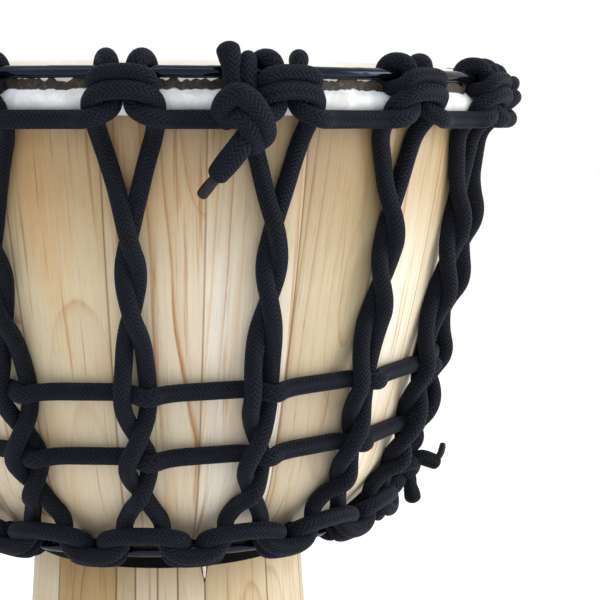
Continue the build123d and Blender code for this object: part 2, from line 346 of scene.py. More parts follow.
def routeLine(points, closed):
    # the smooth line that the given points pull; the same spline carries the thickness
    curve = bpy.data.curves.new("route", "CURVE")
    curve.dimensions = "3D"
    spline = curve.splines.new("NURBS")
    spline.points.add(len(points) - 1)
    for spot, where in zip(spline.points, points):
        spot.co = (*[float(x) for x in where], 1)
    spline.order_u = 3
    spline.use_cyclic_u = closed
    spline.use_endpoint_u = not closed
    spline.resolution_u = 12
    holder = bpy.data.objects.new("route", curve)
    line = bpy.data.meshes.new_from_object(holder)
    read = np.empty(len(line.vertices) * 3)
    line.vertices.foreach_get("co", read)
    bpy.data.objects.remove(holder)
    bpy.data.meshes.remove(line)
    bpy.data.curves.remove(curve)
    return read.reshape(-1, 3)


def ropeTube(points, thicknesses, closed=False):
    line = routeLine([np.asarray(p) * mm for p in points], closed)
    size = routeLine([(t * mm / 2, 0, 0) for t in thicknesses], closed)[:, 0]
    if closed:
        line, size = np.vstack([line, line[:1]]), np.append(size, size[0])
    runs = np.linalg.norm(np.diff(line, axis=0), axis=1)
    keep = np.append(True, runs > 1e-7)
    line, size = line[keep], size[keep]
    travel = np.append(0, np.cumsum(np.linalg.norm(np.diff(line, axis=0), axis=1)))
    length = travel[-1]
    rings = max(8, int(ceil(length / (ropeSet["ringEvery"] * mm))))
    at = np.linspace(0, length, rings + 1)[: rings if closed else rings + 1]
    centre = np.stack([np.interp(at, travel, line[:, k]) for k in range(3)], axis=1)
    radius = np.interp(at, travel, size)
    if not closed:
        # domed ends, a few rings that close over the last run
        steps = np.array(ropeSet["domeSteps"])
        for last, inner in ((True, -2), (False, 1)):
            end = centre[-1] if last else centre[0]
            way = end - centre[inner]
            way /= np.linalg.norm(way)
            endRadius = radius[-1] if last else radius[0]
            domeCentre = end + way * (steps[:, None] * endRadius * ropeSet["domeHeight"])
            domeRadius = endRadius * np.sqrt(np.maximum(1 - steps**2, ropeSet["domePoint"] ** 2))
            domeAt = at[-1] + steps * endRadius if last else at[0] - steps * endRadius
            if last:
                centre = np.vstack([centre, domeCentre])
                radius, at = np.append(radius, domeRadius), np.append(at, domeAt)
            else:
                centre = np.vstack([domeCentre[::-1], centre])
                radius, at = np.append(domeRadius[::-1], radius), np.append(domeAt[::-1], at)
    count = len(centre)
    if closed:
        ways = np.roll(centre, -1, axis=0) - np.roll(centre, 1, axis=0)
    else:
        ways = np.gradient(centre, axis=0)
    ways /= np.linalg.norm(ways, axis=1)[:, None]
    # carry the section along without twisting it
    side = np.cross(ways[0], [0, 0, 1.0])
    if np.linalg.norm(side) < 0.1:
        side = np.cross(ways[0], [1.0, 0, 0])
    side /= np.linalg.norm(side)
    sides = [side]
    for k in range(1, count):
        side = side - ways[k] * (side @ ways[k])
        side /= np.linalg.norm(side)
        sides.append(side)
    sides = np.array(sides)
    others = np.cross(ways, sides)
    twist = np.zeros(count)
    if closed:
        back = sides[-1] - ways[0] * (sides[-1] @ ways[0])
        miss = np.arctan2(back @ others[0], back @ sides[0])
        twist = -miss * np.arange(count) / count
    around = np.arange(ropeSet["sides"]) / ropeSet["sides"] * 2 * pi
    turn = around[None, :] + twist[:, None]
    # the strand is never a perfect tube: it swells and tightens a little along its way
    waves = [noise.noise(Vector(c * ropeSet["swellPerMetre"])) for c in centre]
    swell = 1 + ropeSet["swell"] * np.array(waves)
    verts = centre[:, None, :] + (radius * swell)[:, None, None] * (
        np.cos(turn)[..., None] * sides[:, None, :] + np.sin(turn)[..., None] * others[:, None, :]
    )
    faces = gridFaces(count, ropeSet["sides"], closed, True)
    rows = count if closed else count - 1
    ribs = max(1, round(length / (ropeSet["ribLength"] * mm)))
    along = at / length * ribs
    alongNext = np.append(along[1:], ribs) if closed else along[1:]
    i, j = np.meshgrid(np.arange(rows), np.arange(ropeSet["sides"]), indexing="ij")
    i, j = i.ravel(), j.ravel()
    yarn = ropeSet["carriers"] / ropeSet["sides"]
    here, onwards = along[i], alongNext[i]
    left, right = j * yarn, (j + 1) * yarn
    braid = np.stack([here, left, onwards, left, onwards, right, here, right], axis=1)
    return verts.reshape(-1, 3), faces, braid.reshape(-1, 2), length / mm


def ropePiece(name, tubes, nodes=(), material=ropeMaterial):
    verts, faces, maps, start = [], [], [], 0
    for tube in tubes:
        verts.append(tube[0])
        faces.append(tube[1] + start)
        maps.append(tube[2])
        start += len(tube[0])
    piece = meshPiece(name, np.vstack(verts), np.vstack(faces), material)
    cornerMap(piece, "braid", np.vstack(maps))
    settle(piece, "rope", *nodes)
    print(name, "rope length", [round(float(tube[3])) for tube in tubes], "mm")


# one station of each rope: side, along and out from its ring
crownLoopLeft = [(-12.6, 11.6, 2.2), (-7.6, 11.6, 6.4), (-2.6, 9.4, 4.4), (-2.2, 6.4, 3.0)]
bottomLoopLeft = [(-9.6, 12.4, 1.4), (-3.4, 10.8, 1.6), (-2.3, 6.6, 0.9)]
crownArchLeft = [(-7.7, 10.6, 1.3), (-8.0, 7.2, 3.8), (-4.6, 4.5, 7.6)]
bottomArchLeft = [(-7.6, 11.4, -2.2), (-8.0, 8.6, 0.4), (-4.6, 6.6, 5.2)]


def hitchLeft(ring):
    # past the ring in front, over it, back behind it, and out to the bar in front
    if ring == "crown":
        wrap = 3.25
        return [
            (-2.2, 4.4, 3.0),
            (-2.1, 2.2, wrap - 0.1),
            (-3.3, -wrap - 0.1, wrap),
            (-5.7, -wrap - 0.1, -wrap),
            (-6.7, wrap + 0.3, -wrap),
            (-6.9, wrap + 0.1, 4.8),
            (-5.4, 0.2, 7.2),
        ]
    wrap = 2.7
    return [
        (-2.2, 4.6, 1.4),
        (-2.1, 2.4, wrap - 0.2),
        (-3.0, -wrap + 0.9, wrap - 0.3),
        (-5.2, -wrap + 0.1, -wrap),
        (-6.6, wrap + 0.5, -wrap),
        (-7.0, wrap + 1.8, 2.9),
        (-5.4, 3.0, 4.9),
    ]


# the two strands of a column: side, drop and lift off the wood
risingStrand = [
    (-4.4, 117.6, 2.4), (-2.2, 113.5, 3.0), (0.0, 109.6, 7.5), (2.5, 104.6, 3.2),
    (2.7, 99.6, 2.2), (0.0, 94.4, 2.15), (-2.7, 88.0, 4.4), (-3.1, 81.5, 7.4),
    (-2.8, 75.0, 3.8), (-2.2, 66.5, 2.3), (0.0, 59.4, 2.15), (2.3, 49.0, 3.6),
    (0.0, 39.6, 7.3), (-2.4, 30.0, 2.8), (-4.6, 21.8, 2.3), (-6.9, 14.5, 2.2),
]
fallingStrand = [
    (6.9, 14.5, 2.2), (4.6, 21.6, 2.3), (2.4, 30.2, 2.4), (0.0, 39.6, 2.15),
    (-2.3, 49.2, 3.6), (0.0, 59.4, 7.3), (2.2, 66.7, 3.8), (2.8, 75.2, 2.4),
    (3.1, 81.5, 2.2), (2.7, 88.2, 3.2), (0.0, 94.2, 7.4), (-2.7, 99.6, 7.6),
    (-2.5, 104.8, 4.6), (0.0, 109.6, 2.15), (2.2, 113.6, 2.6), (4.4, 117.4, 2.4),
]
rowUnit = [(-11.4, 2.4), (-6.4, 2.3), (-3.1, 2.2), (0.0, 4.2), (3.1, 7.3), (7.0, 3.4)]
rowDrops = {"upper": 81.5, "lower": 99.6}


def loopTube(ring, loopLeft, thin):
    points, sizes = [], []
    unit = [(p, ropeSet["thick"]) for p in loopLeft]
    # the rope spreads where it lies over the upper ring
    for count, place in enumerate(hitchLeft(ring)):
        unit.append((place, ropeSet["overRing"] if ring == "crown" and count in (2, 3) else thin))
    unit += [((-p[0], p[1], p[2]), t) for p, t in reversed(unit)]
    for turn in range(drum["stations"]):
        points += [ringPoint(ring, turn, *p) for p, _ in unit]
        sizes += [t for _, t in unit]
    return ropeTube(points, sizes, closed=True)


ropePiece("upperLoopRope", [loopTube("crown", crownLoopLeft, ropeSet["tight"])],
          ["upper_loop_rope_front", "upper_loop_rope_back"])
ropePiece("lowerLoopRope", [loopTube("bottom", bottomLoopLeft, ropeSet["pressed"])],
          ["lower_loop_rope_front", "lower_loop_rope_back"])

lacing = []
for turn in range(drum["stations"]):
    angle = drum["firstStation"] + turn * pitch
    lacing += [ringPoint("bottom", turn - 1, *p) for p in mirrored(bottomArchLeft)]
    lacing += [bowlPoint(angle, *p) for p in risingStrand]
    lacing += [ringPoint("crown", turn, *p) for p in crownArchLeft + mirrored(crownArchLeft)]
    lacing += [bowlPoint(angle, *p) for p in fallingStrand]
    lacing += [ringPoint("bottom", turn, *p) for p in bottomArchLeft]
ropePiece("lacingRope", [ropeTube(lacing, [ropeSet["thick"]] * len(lacing), closed=True)],
          ["lacing_rope_front", "lacing_rope_back"])

for row, drop in rowDrops.items():
    points = []
    for turn in range(drum["stations"]):
        angle = drum["firstStation"] + turn * pitch
        points += [bowlPoint(angle, side, drop, lift) for side, lift in rowUnit]
    ropePiece(row + "RowRope", [ropeTube(points, [ropeSet["thick"]] * len(points), closed=True)],
              [row + "_row_rope"])
print("ropes laid")


# knots of the two loop ropes: angle, radius, height from the crown ring and thickness
upperKnot = {
    "stub": [
        (8.7, 103.4, 5.0, 6.0), (8.9, 104.0, 3.0, 5.8), (9.0, 104.4, 0.4, 4.4),
        (9.2, 104.6, -4.0, 4.8), (9.6, 104.6, -8.5, 4.8), (10.6, 104.8, -12.0, 4.8)],
    "bar": [
        (12.2, 98.2, 3.0, 4.2), (11.6, 102.4, 3.6, 4.4), (11.2, 104.6, 0.2, 4.6),
        (11.2, 104.8, -4.6, 4.6), (11.2, 102.8, -9.0, 4.6)],
    "turn": [
        (8.3, 101.0, -11.4, 4.8), (7.6, 103.6, -10.4, 5.4), (7.6, 107.4, -7.8, 5.7),
        (8.9, 109.8, -5.3, 5.8), (10.5, 110.2, -6.4, 5.8), (11.9, 110.0, -9.6, 5.8),
        (13.0, 108.4, -13.0, 5.6), (13.6, 105.8, -15.8, 5.2), (13.2, 102.8, -17.0, 4.6)],
    "under": [
        (8.3, 103.6, -11.8, 5.0), (9.0, 107.2, -10.4, 5.6), (10.2, 108.8, -11.4, 5.8),
        (11.5, 107.8, -14.8, 5.6), (12.2, 104.6, -18.0, 5.0)],
    "tail": [
        (11.8, 104.4, -14.0, 5.2), (10.7, 105.8, -16.2, 5.8), (9.5, 104.8, -19.6, 6.2),
        (8.3, 103.0, -22.6, 6.2), (7.4, 102.0, -24.8, 5.6)],
    "tip": [
        (7.4, 102.0, -25.0, 3.4), (6.7, 101.7, -26.6, 2.6), (6.1, 101.4, -27.8, 3.2),
        (5.2, 101.0, -29.9, 2.9)],
}
lowerKnot = {
    "stub": [
        (82.4, 74.6, -121.4, 5.0), (82.4, 76.6, -118.4, 5.0), (82.6, 79.6, -116.6, 5.0),
        (82.8, 82.6, -117.6, 5.2), (83.0, 84.4, -118.4, 4.8)],
    "tip": [
        (83.0, 84.2, -118.0, 2.4), (83.0, 85.8, -116.6, 2.0), (83.0, 86.6, -114.4, 2.3),
        (83.0, 86.8, -112.9, 1.9)],
    "drop": [
        (81.8, 74.6, -121.6, 4.8), (82.2, 76.6, -122.6, 4.4), (82.4, 76.6, -125.4, 4.0),
        (82.6, 77.2, -128.0, 5.2), (82.6, 77.5, -129.6, 5.2)],
    "turn": [
        (79.4, 72.4, -119.6, 4.8), (80.2, 76.4, -117.6, 4.8), (82.6, 77.8, -118.6, 5.0),
        (84.8, 77.0, -121.8, 5.0), (84.4, 73.8, -123.6, 4.8)],
}


def knotTube(spots):
    return ropeTube([atAngle(a, r, crownHeight + z) for a, r, z, _ in spots], [t for *_, t in spots])


for name, knot in (("upperKnot", upperKnot), ("lowerKnot", lowerKnot)):
    ropePiece(name, [knotTube(spots) for part, spots in knot.items() if part != "tip"])
    ropePiece(name + "Tip", [knotTube(knot["tip"])], material=meltedMaterial)
print("knots tied")


# unevenness of the wood: size in mm across and along the grain, and how rough it is
woodNoise = {
    "slow": (33, 90, {"Detail": 2.0}),
    "fade": (11, 70, {"Detail": 3.0}),
    "broad": (36, 140, {"Detail": 2.0}),
    "flame": (13, 60, {"Detail": 4.0, "Roughness": 0.6, "Distortion": 0.5}),
    "streak": (1.6, 60, {"Detail": 3.0, "Roughness": 0.55}),
    "fibre": (0.65, 24, {"Detail": 4.0, "Roughness": 0.65}),
    "pore": (0.53, 6.7, {"Detail": 1.0}),
}


# solid staves of a pale, ring-porous wood, planed and clear-varnished: satin, with brown growth lines,
# arched where a board was cut near the log's face and straight where it was cut through it
def varnishedStaveWood(name, look):
    material, tree, shader = newMaterial(name, {
        "Roughness": look["roughness"], "IOR": 1.5, "Specular IOR Level": 0.35,
        "Coat Weight": 0.08, "Coat Roughness": 0.35})
    spot = addNode(tree, "Attribute", {"attribute_name": "grainPlace"}).outputs["Vector"]
    seat = addNode(tree, "SeparateXYZ", links={
        "Vector": addNode(tree, "Attribute", {"attribute_name": "grainSeat"}).outputs["Vector"]})
    extras = addNode(tree, "SeparateXYZ", links={
        "Vector": addNode(tree, "Attribute", {"attribute_name": "staveLook"}).outputs["Vector"]})
    parts = addNode(tree, "SeparateXYZ", links={"Vector": spot})
    # each stave reads its own part of the noise
    shift = addNode(tree, "CombineXYZ", {}, {
        "X": seat.outputs["X"], "Z": addNode(tree, "Math", {"operation": "MULTIPLY", 1: 3.7}, {
            0: extras.outputs["X"]})})
    own = addNode(tree, "VectorMath", {"operation": "ADD"}, {0: spot, 1: shift})
    noises = {}
    for part, (wide, long, settings) in woodNoise.items():
        stretched = addNode(tree, "VectorMath", {
            "operation": "MULTIPLY", 1: perMetre(wide, long, wide)}, {0: own})
        noises[part] = addNode(tree, "TexNoise", {"Scale": 1.0, **settings}, {"Vector": stretched})
    wander = addNode(tree, "Math", {
        "operation": "MULTIPLY_ADD", 1: look["wander"], 2: -look["wander"] / 2}, {0: noises["slow"]})
    # distance from the log's heart: across the stave, and through it with the board's tilt
    across = addNode(tree, "Math", {"operation": "SUBTRACT"}, {0: parts.outputs["X"], 1: seat.outputs["X"]})
    tilt = addNode(tree, "Math", {"operation": "MULTIPLY_ADD"}, {
        0: parts.outputs["Y"], 1: seat.outputs["Z"], 2: seat.outputs["Y"]})
    through = addNode(tree, "Math", {"operation": "ADD"}, {0: tilt, 1: parts.outputs["Z"]})
    throughWander = addNode(tree, "Math", {"operation": "ADD"}, {0: through, 1: wander})
    flat = addNode(tree, "CombineXYZ", {}, {"X": across, "Y": throughWander})
    heart = addNode(tree, "VectorMath", {"operation": "LENGTH"}, {0: flat})
    rings = addNode(tree, "Math", {"operation": "MULTIPLY", 1: 1000 / look["ringWidth"]}, {
        0: heart.outputs["Value"]})
    year = addNode(tree, "Math", {"operation": "FRACT"}, {0: rings})
    yearLine = addNode(tree, "ValToRGB", {
        "ramp": [(0.0, 0.7), (0.06, 0.1), (0.5, 0.0), (0.84, 0.28), (0.96, 1.0)]}, {
        "Fac": year})
    # some years show strongly and others hardly at all
    yearNumber = addNode(tree, "Math", {"operation": "FLOOR"}, {0: rings})
    yearSeed = addNode(tree, "TexWhiteNoise", {"noise_dimensions": "2D"}, {
        "Vector": addNode(tree, "CombineXYZ", {}, {
            "X": yearNumber, "Y": extras.outputs["X"]})})
    yearShare = addNode(tree, "Math", {"operation": "MULTIPLY_ADD", 1: 1.0, 2: 0.12}, {
        0: yearSeed.outputs["Value"]})
    fadeShare = addNode(tree, "ValToRGB", {"ramp": [(0.36, 0.15), (0.66, 1.0)]}, {"Fac": noises["fade"]})
    figure = addNode(tree, "Math", {"operation": "MULTIPLY"}, {0: yearLine, 1: yearShare})
    figureFade = addNode(tree, "Math", {"operation": "MULTIPLY"}, {0: figure, 1: fadeShare})
    figureShare = addNode(tree, "Math", {"operation": "MULTIPLY"}, {
        0: figureFade, 1: extras.outputs["Y"]})
    # colour: pale ground, broad tone, growth lines, fibres and pores
    ground = addNode(tree, "ValToRGB", {"ramp": look["ground"]}, {"Fac": noises["broad"]})
    lined = addNode(tree, "MixRGB", {"Color2": srgb(look["line"])}, {
        "Fac": figureShare, "Color1": ground})
    # broad warm flames, and thin brown streaks that run with the grain
    coloured = lined
    for part, stops in (("flame", [(0.5, 0.0), (0.68, 1.0)]), ("streak", [(0.6, 0.0), (0.7, 1.0)])):
        mask = addNode(tree, "ValToRGB", {"ramp": stops}, {"Fac": noises[part]})
        share = addNode(tree, "Math", {"operation": "MULTIPLY", 1: look[part + "s"]}, {0: mask})
        coloured = addNode(tree, "MixRGB", {"Color2": srgb(look[part])}, {
            "Fac": share, "Color1": coloured})
    fibreTone = addNode(tree, "ValToRGB", {"ramp": [(0.3, 0.86), (0.7, 1.0)]}, {"Fac": noises["fibre"]})
    fibred = addNode(tree, "MixRGB", {"blend_type": "MULTIPLY", "Fac": 0.8}, {
        "Color1": coloured, "Color2": fibreTone})
    poreMask = addNode(tree, "ValToRGB", {"ramp": [(0.62, 0.0), (0.7, 1.0)]}, {"Fac": noises["pore"]})
    poreShare = addNode(tree, "Math", {"operation": "MULTIPLY_ADD", 1: 0.5, 2: 0.1}, {0: figureShare})
    poreFactor = addNode(tree, "Math", {"operation": "MULTIPLY"}, {0: poreMask, 1: poreShare})
    pored = addNode(tree, "MixRGB", {"Color2": srgb(look["pore"])}, {"Fac": poreFactor, "Color1": fibred})
    # the stave's own tone, its dark glue line, and the raw darker wood inside
    toneRamp = addNode(tree, "ValToRGB", {"ramp": look["tones"]}, {"Fac": extras.outputs["X"]})
    toned = addNode(tree, "MixRGB", {"blend_type": "MULTIPLY", "Fac": 1.0}, {
        "Color1": pored, "Color2": toneRamp})
    # painted shade: the colour darkens towards the top of each stave, where the upper ropes shade the bowl
    # and the bowl shades the stem
    paintedTopShade = addNode(tree, "ValToRGB", {"ramp": look["paintedTopShade"]}, {
        "Fac": addNode(tree, "Math", {"operation": "MULTIPLY", 1: 10.0}, {
            0: parts.outputs["Y"]})})
    topShaded = addNode(tree, "MixRGB", {"blend_type": "MULTIPLY", "Fac": 1.0}, {
        "Color1": toned, "Color2": paintedTopShade})
    seam = addNode(tree, "Attribute", {"attribute_name": "seamGap"})
    seamMask = addNode(tree, "ValToRGB", {"ramp": [(0.12, 1.0), (0.45, 0.0)]}, {
        "Fac": addNode(tree, "Math", {"operation": "MULTIPLY", 1: 1000.0}, {
            0: seam.outputs["Fac"]})})
    seamShare = addNode(tree, "Math", {"operation": "MULTIPLY", 1: look["seamDark"]}, {0: seamMask})
    glued = addNode(tree, "MixRGB", {"Color2": srgb(look["glue"])}, {"Fac": seamShare, "Color1": topShaded})
    inside = addNode(tree, "Math", {"operation": "MULTIPLY", 1: 0.55}, {0: extras.outputs["Z"]})
    final = addNode(tree, "MixRGB", {"Color2": srgb(look["inside"])}, {"Fac": inside, "Color1": glued})
    connect(tree, shader, {"Base Color": final})
    relief = addNode(tree, "Bump", {"Strength": 0.25, "Distance": 0.00015}, {"Height": noises["fibre"]})
    poreRelief = addNode(tree, "Bump", {"Strength": 0.3, "Distance": 0.0001, "invert": True}, {
        "Height": poreMask, "Normal": relief})
    connect(tree, shader, {"Normal": poreRelief})
    return material


bowlWood = varnishedStaveWood("varnishedBowlStaves", {
    "roughness": 0.5, "ringWidth": 3.6, "wander": 0.009, "streaks": 0.6, "streak": "#ad7634",
    "flames": 0.42, "flame": "#d4ad74",
    "ground": [(0.3, "#d0c5a8"), (0.7, "#e2dccf")], "line": "#ab7634", "pore": "#7f5526",
    "tones": [(0.0, "#d3cabc"), (0.4, "#f2eadd"), (1.0, "#ffffff")],
    # painted shade under the upper ropes, darkest in the top 12 mm below the rim
    "paintedTopShade": [(0.12, "#c4b196"), (0.34, "#dccfbb"), (0.6, "#ffffff")],
    "seamDark": 0.6, "glue": "#7a5c38", "inside": "#a98455"})
stemWood = varnishedStaveWood("varnishedStemStrips", {
    "roughness": 0.5, "ringWidth": 3.0, "wander": 0.012, "streaks": 0.6, "streak": "#96642f",
    "flames": 0.35, "flame": "#bd9358",
    "ground": [(0.3, "#c0b292"), (0.7, "#d6ccb6")], "line": "#8a5c2a", "pore": "#744a22",
    "tones": [(0.0, "#d2b883"), (0.5, "#efe5d2"), (1.0, "#ffffff")],
    # painted shade at the top of the stem, just under the bowl
    "paintedTopShade": [(0.0, "#d8c9b2"), (0.15, "#ffffff")],
    "seamDark": 0.75, "glue": "#5d4226", "inside": "#9c7848"})


# mesh steps beside a seam, mesh width elsewhere, and how the edge eases in towards the glue line, in mm
staveSet = {"edge": [0.0, 0.12, 0.35, 1.0], "column": 2.2, "easeDeep": 0.1, "easeWide": 0.5}


def stavePiece(name, outer, inner, first, last, seat, look, material, node):
    # outer and inner run from top to bottom with as many points each
    width = radians(last - first) * outer[0][0]
    edge = staveSet["edge"]
    columnsInside = max(4, int(width / staveSet["column"]))
    middle = list(np.linspace(edge[-1], width - edge[-1], columnsInside)[1:-1])
    across = np.array(edge + middle + [width - e for e in reversed(edge)]) / width
    angles = first + across * (last - first)
    gaps = np.minimum(across, 1 - across)
    rows, columns = len(outer), len(angles)
    travel = np.append(0, np.cumsum(np.hypot(*np.diff(np.array(outer), axis=0).T)))
    verts, spots, seams, insides = [], [], [], []
    for depth, side in ((0.0, outer), (drum["wall"], inner)):
        for (radius, height), run in zip(side, travel):
            for angle, gap in zip(angles, gaps):
                seamGap = gap * radians(last - first) * radius
                ease = staveSet["easeDeep"] * max(0.0, 1 - seamGap / staveSet["easeWide"]) ** 2
                verts.append(atAngle(angle, radius - (0.0 if depth else ease), height) * mm)
                spots.append((radians(angle - (first + last) / 2) * radius * mm, run * mm, depth * mm))
                seams.append(seamGap * mm)
                insides.append(1.0 if depth else 0.0)
    outside = gridFaces(rows, columns)
    block = rows * columns
    behind = outside[:, ::-1] + block
    c, r = np.arange(columns - 1), np.arange(rows - 1)
    lastRow = (rows - 1) * columns
    top = np.stack([c, c + 1, block + c + 1, block + c], axis=1)
    foot = np.stack([lastRow + c, block + lastRow + c, block + lastRow + c + 1, lastRow + c + 1], axis=1)
    left = np.stack([
        r * columns, block + r * columns, block + (r + 1) * columns, (r + 1) * columns], axis=1)
    right = np.stack([
        r * columns + columns - 1, (r + 1) * columns + columns - 1,
        block + (r + 1) * columns + columns - 1, block + r * columns + columns - 1], axis=1)
    faces = np.vstack([outside, behind, top, foot, left, right])
    smooth = np.arange(len(faces)) < 2 * len(outside)
    piece = meshPiece(name, verts, faces, material, smooth)
    pointValue(piece, "grainPlace", spots)
    pointValue(piece, "grainSeat", [seat] * len(verts))
    pointValue(piece, "staveLook", [(look[0], look[1], inside) for inside in insides])
    pointValue(piece, "seamGap", seams)
    settle(piece, "bowl_wood" if "bowl" in node else "stem_wood", node)


outerBowl = arcPoints(rimArc, shell["rim"], shell["top"], 8)
outerBowl += arcPoints(flankCentre, shell["top"], shell["knee"], 34)[1:]
outerBowl += arcPoints(bellyCentre, shell["knee"], shell["joint"], 22)[1:]
innerTop = (shell["rim"][0] - 4, drum["rimHeight"] - 1)
innerKnee = (shell["knee"][0] - drum["wall"], drum["kneeHeight"] + drum["wall"] / 4)
innerFloor = (shell["throat"], jointHeight + drum["wall"])
innerMiddle = (shell["middle"][0] - drum["wall"], shell["middle"][1])
innerCentre, _ = circleThrough(innerTop, innerMiddle, innerKnee)
innerBellyCentre = tangentCentre(innerKnee, innerCentre, innerFloor)
innerBowl = arcPoints(innerCentre, innerTop, innerKnee, 41)
innerBowl += arcPoints(innerBellyCentre, innerKnee, innerFloor, 18)[1:]
innerBowl += [(shell["throat"], jointHeight + drum["wall"] * k / 4) for k in (3, 2, 1, 0)]
bowl = {"staves": 22, "firstSeam": -9.9}

# grain of each stave: side offset and depth of the log's heart in m, tilt; tone and strength of the lines
bowlGrain = [
    ((0.004, 0.030, -0.16), (0.55, 0.95)),
    ((-0.012, 0.018, 0.12), (0.75, 0.75)),
    ((0.010, 0.024, 0.20), (0.40, 1.00)),
    ((-0.030, 0.050, 0.05), (0.80, 0.80)),
    ((0.002, 0.020, -0.22), (0.60, 0.90)),
    ((0.025, 0.040, 0.10), (0.90, 0.65)),
    ((-0.006, 0.026, 0.18), (0.35, 1.00)),
]
# the staves in front: plain, streaked, straight-grained, and arched
bowlGrainFront = {
    22: ((0.004, 0.022, -0.11), (0.5, 0.5)),
    1: ((0.014, 0.010, 0.06), (0.45, 1.0)),
    2: ((-0.060, 0.020, 0.02), (0.85, 0.8)),
    3: ((0.005, 0.009, -0.16), (0.1, 1.0)),
    4: ((-0.030, 0.020, 0.06), (1.0, 0.8)),
    5: ((0.012, 0.030, 0.04), (1.0, 0.7)),
}
staveAngle = 360 / bowl["staves"]
for stave in range(bowl["staves"]):
    seat, look = bowlGrainFront.get(stave + 1, bowlGrain[stave * 5 % 7])
    jitter = noise.noise(Vector((stave * 1.7, 0.3, 0.9)))
    first = bowl["firstSeam"] + stave * staveAngle
    stavePiece(
        f"bowlStave{stave + 1:02d}", outerBowl, innerBowl, first, first + staveAngle,
        (seat[0] + 0.006 * jitter, seat[1] + 0.004 * jitter, seat[2]),
        (min(1.0, max(0.0, look[0] + 0.3 * jitter)), look[1]), bowlWood, f"bowl_stave_{stave + 1:02d}",
    )

stem = {"narrow": [-21.4, -13.4, -4.5, 3.5, 14.4], "wide": 11}
# the strips in front: one dark and figured among pale plain ones
stemGrainFront = {
    14: ((0.020, 0.030, 0.05), (0.95, 0.35)),
    15: ((0.002, 0.006, 0.16), (0.0, 1.0)),
    1: ((0.020, 0.040, 0.06), (0.9, 0.35)),
    2: ((-0.020, 0.040, 0.05), (0.85, 0.35)),
    3: ((0.015, 0.030, 0.08), (0.9, 0.5)),
    4: ((-0.012, 0.020, 0.10), (0.8, 0.6)),
    5: ((0.006, 0.018, 0.12), (0.6, 0.8)),
}
stemMiddleHeight = jointHeight / 2
outerStemCentre, _ = circleThrough(
    shell["joint"], (shell["stemMiddle"], stemMiddleHeight), (shell["foot"], 0))
innerStemCentre, _ = circleThrough(
    (shell["throat"], jointHeight), (shell["stemMiddle"] - drum["wall"], stemMiddleHeight),
    (shell["foot"] - drum["wall"], 0))
outerStem = arcPoints(outerStemCentre, shell["joint"], (shell["foot"], 0), 44)
innerStem = arcPoints(
    innerStemCentre, (shell["throat"], jointHeight), (shell["foot"] - drum["wall"], 0), 44)
wideAngle = (360 - (stem["narrow"][-1] - stem["narrow"][0])) / stem["wide"]
stemSeams = stem["narrow"] + [stem["narrow"][-1] + wideAngle * (k + 1) for k in range(stem["wide"])]
for strip in range(len(stemSeams) - 1):
    seat, look = stemGrainFront.get(strip + 1, bowlGrain[strip * 3 % 7])
    jitter = noise.noise(Vector((strip * 1.3, 4.3, 0.2)))
    stavePiece(
        f"stemStave{strip + 1:02d}", outerStem, innerStem, stemSeams[strip], stemSeams[strip + 1],
        (seat[0] + 0.005 * jitter, seat[1], -seat[2]),
        (min(1.0, max(0.0, look[0] + 0.35 * jitter)), look[1]), stemWood, f"stem_stave_{strip + 1:02d}",
    )


# wood filler pressed into a short split at the top of a seam: chalky and pale, with a dark rim
def woodFiller(name):
    material, tree, shader = newMaterial(name, {"Roughness": 0.8, "IOR": 1.5, "Specular IOR Level": 0.2})
    edge = addNode(tree, "Attribute", {"attribute_name": "fillerEdge"})
    grit = addNode(tree, "TexNoise", {"Scale": perMetre(0.7), "Detail": 3.0}, {
        "Vector": addNode(tree, "TexCoord").outputs["Object"]})
    paste = addNode(tree, "ValToRGB", {"ramp": [(0.3, "#cfc8b6"), (0.7, "#e6e1d4")]}, {"Fac": grit})
    rim = addNode(tree, "ValToRGB", {"ramp": [(0.3, 0.0), (0.55, 1.0)]}, {"Fac": edge.outputs["Fac"]})
    final = addNode(tree, "MixRGB", {"Color2": srgb("#3a2716")}, {"Fac": rim, "Color1": paste})
    connect(tree, shader, {"Base Color": final})
    relief = addNode(tree, "Bump", {"Strength": 0.4, "Distance": 0.0001}, {"Height": grit})
    connect(tree, shader, {"Normal": relief})
    return material


filler = {"angle": stem["narrow"][4], "top": 4.0, "length": 5.6, "width": 2.3, "proud": 0.12, "tip": 0.08}
stemOuterRadius = float(np.hypot(*(np.array(shell["joint"]) - outerStemCentre)))
verts, edges = [], []
for down in np.linspace(0, 1, 15):
    height = jointHeight - filler["top"] - filler["length"] * down
    radius = outerStemCentre[0] - sqrt(stemOuterRadius**2 - (height - outerStemCentre[1]) ** 2)
    half = filler["width"] / 2 * (1 - down) ** 0.8 + filler["tip"]
    for side in np.linspace(-1, 1, 9):
        hump = filler["proud"] * (1 - side**4) + 0.01
        verts.append(atAngle(filler["angle"] + degrees(side * half / radius), radius + hump, height) * mm)
        edges.append(max(abs(side) ** 1.4, down**3))
fillerPiece = meshPiece("splitFiller", verts, gridFaces(15, 9)[:, ::-1], woodFiller("pressedWoodFiller"))
pointValue(fillerPiece, "fillerEdge", edges)
settle(fillerPiece, "stem_wood")
print("staves made")
